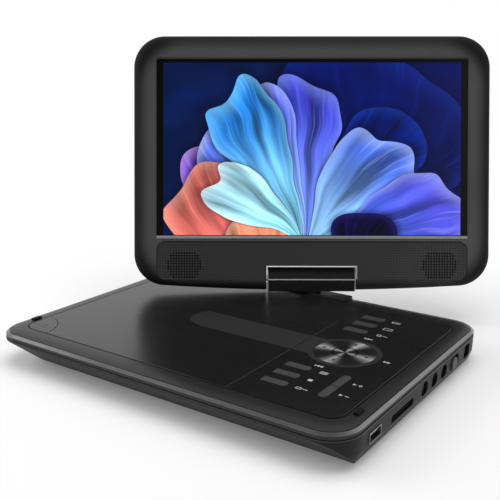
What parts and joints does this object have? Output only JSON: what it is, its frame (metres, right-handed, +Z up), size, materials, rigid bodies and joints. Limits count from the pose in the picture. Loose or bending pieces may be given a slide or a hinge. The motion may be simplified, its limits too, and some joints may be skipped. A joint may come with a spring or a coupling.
{
  "type": "portable disc player",
  "caption": "Flat portable disc player with a swivelling and tilting widescreen display, disc door, key panel with a round dial, and side sockets.",
  "frame": {"origin": "centre of the base's outline, in the plane of its feet", "axes": "+X to the player's right-hand side, where the sockets are; +Y to the rear, where the hinge is; +Z up"},
  "size_m": [0.2641, 0.3005, 0.2109],
  "materials": {
    "housing_grey": "fine satin texture",
    "housing_black": "semi gloss",
    "silver_trim": "satin silver paint",
    "deck_gloss": "piano gloss",
    "stripe_satin": "satin",
    "key_satin": "satin",
    "dial_metal": "round-brushed",
    "circuit_board": "solder mask",
    "steel": "plain",
    "steel_dark": "blackened",
    "rubber_black": "matt",
    "socket_plastic": "matt",
    "battery_wrap": "shrink wrap",
    "chrome_trim": "polished",
    "bezel_grey": "fine satin texture",
    "screen_glass": "anti-glare panel",
    "strip_satin": "satin",
    "speaker_black": "paper cone and steel frame"
  },
  "bodies": {
    "base": {"lower_housing": "housing_grey", "upper_housing": "housing_black", "trim_band": "silver_trim", "control_panel": "deck_gloss", "dial_inlay": "stripe_satin", "key_board": "circuit_board", "door_hinge_pins": "steel", "screen_bumpers": "rubber_black", "rubber_feet": "rubber_black", "base_screws": "steel_dark", "board_screws": "steel", "main_board": "circuit_board", "usb_port": "steel", "card_slot": "steel", "av_jacks": "socket_plastic", "dc_jack": "socket_plastic", "switch_case": "socket_plastic", "battery_pack": "battery_wrap", "loader_chassis": "steel", "guide_rods": "steel", "loader_dampers": "rubber_black", "spindle_motor": "steel", "sled_motor": "steel", "hinge_pedestal": "housing_black"},
    "door": {"disc_door": "deck_gloss", "door_stripe": "stripe_satin"},
    "mode_key": {"mode_key": "key_satin"},
    "display_key": {"display_key": "key_satin"},
    "setup_key": {"setup_key": "key_satin"},
    "menu_key": {"menu_key": "key_satin"},
    "stop_key": {"stop_key": "key_satin"},
    "source_key": {"source_key": "key_satin"},
    "volume_up_key": {"volume_up_key": "key_satin"},
    "volume_down_key": {"volume_down_key": "key_satin"},
    "nav_pad": {"nav_pad": "dial_metal"},
    "nav_centre_key": {"nav_centre_key": "key_satin"},
    "open_button": {"open_button": "deck_gloss"},
    "power_switch": {"power_switch": "key_satin"},
    "turntable": {"turntable": "socket_plastic"},
    "pickup_head": {"pickup_head": "socket_plastic"},
    "lead_screw": {"lead_screw": "steel"},
    "swivel": {"swivel_foot": "steel_dark", "swivel_retainer": "steel_dark", "hinge_cover": "deck_gloss", "hinge_trim": "chrome_trim", "hinge_bracket": "steel", "tilt_shafts": "steel"},
    "screen": {"screen_bezel": "bezel_grey", "screen_back_cover": "housing_black", "lcd_panel": "screen_glass", "speaker_strip": "strip_satin", "speakers": "speaker_black", "lcd_driver_board": "circuit_board", "notch_trim": "chrome_trim", "hinge_leaves": "steel", "screen_screws": "steel_dark"}
  },
  "joints": [
    {"name": "screen_swivel", "type": "hinge", "parent": "base", "child": "swivel", "pos_m": [0, 0.0915, 0.0238], "axis": [0, 0, 1], "range_deg": [-124.5, 145.5]},
    {"name": "screen_tilt", "type": "hinge", "parent": "swivel", "child": "screen", "pos_m": [0, 0.0915, 0.0337], "axis": [0.8241, 0.5664, 0], "range_deg": [-76.4, 103.6]},
    {"name": "door_lift", "type": "hinge", "parent": "base", "child": "door", "pos_m": [-0.0345, 0.0773, 0.0194], "axis": [-1, 0, 0], "range_deg": [0, 4]},
    {"name": "mode_press", "type": "slide", "parent": "base", "child": "mode_key", "axis": [0, 0, -1], "range_m": [0, 0.0004], "stiffness_N_per_m": 2500, "springref_m": -0.0002},
    {"name": "display_press", "type": "slide", "parent": "base", "child": "display_key", "axis": [0, 0, -1], "range_m": [0, 0.0004], "stiffness_N_per_m": 2500, "springref_m": -0.0002},
    {"name": "setup_press", "type": "slide", "parent": "base", "child": "setup_key", "axis": [0, 0, -1], "range_m": [0, 0.0004], "stiffness_N_per_m": 2500, "springref_m": -0.0002},
    {"name": "menu_press", "type": "slide", "parent": "base", "child": "menu_key", "axis": [0, 0, -1], "range_m": [0, 0.0004], "stiffness_N_per_m": 2500, "springref_m": -0.0002},
    {"name": "stop_press", "type": "slide", "parent": "base", "child": "stop_key", "axis": [0, 0, -1], "range_m": [0, 0.0004], "stiffness_N_per_m": 2500, "springref_m": -0.0002},
    {"name": "source_press", "type": "slide", "parent": "base", "child": "source_key", "axis": [0, 0, -1], "range_m": [0, 0.0004], "stiffness_N_per_m": 2500, "springref_m": -0.0002},
    {"name": "volume_up_press", "type": "slide", "parent": "base", "child": "volume_up_key", "axis": [0, 0, -1], "range_m": [0, 0.0004], "stiffness_N_per_m": 2500, "springref_m": -0.0002},
    {"name": "volume_down_press", "type": "slide", "parent": "base", "child": "volume_down_key", "axis": [0, 0, -1], "range_m": [0, 0.0004], "stiffness_N_per_m": 2500, "springref_m": -0.0002},
    {"name": "nav_pad_press", "type": "slide", "parent": "base", "child": "nav_pad", "axis": [0, 0, -1], "range_m": [0, 0.0004], "stiffness_N_per_m": 2500, "springref_m": -0.0002},
    {"name": "nav_centre_press", "type": "slide", "parent": "base", "child": "nav_centre_key", "axis": [0, 0, -1], "range_m": [0, 0.0004], "stiffness_N_per_m": 2500, "springref_m": -0.0002},
    {"name": "open_press", "type": "slide", "parent": "base", "child": "open_button", "axis": [0, 0, -1], "range_m": [0, 0.0008], "stiffness_N_per_m": 1200, "springref_m": -0.0004},
    {"name": "power_slide", "type": "slide", "parent": "base", "child": "power_switch", "axis": [0, 1, 0], "range_m": [0, 0.003]},
    {"name": "turntable_spin", "type": "hinge", "parent": "base", "child": "turntable", "pos_m": [-0.034, -0.0017, 0.014], "axis": [0, 0, 1], "continuous": true},
    {"name": "pickup_slide", "type": "slide", "parent": "base", "child": "pickup_head", "axis": [0, -1, 0], "range_m": [0, 0.034]},
    {"name": "lead_screw_turn", "type": "hinge", "parent": "base", "child": "lead_screw", "pos_m": [-0.0175, -0.0257, 0.0086], "axis": [0, 1, 0], "range_deg": [0, 4090]}
  ],
  "couplings": [
    {"joint": "lead_screw_turn", "follows": "pickup_slide", "rad_per_m": 2094.4}
  ]
}
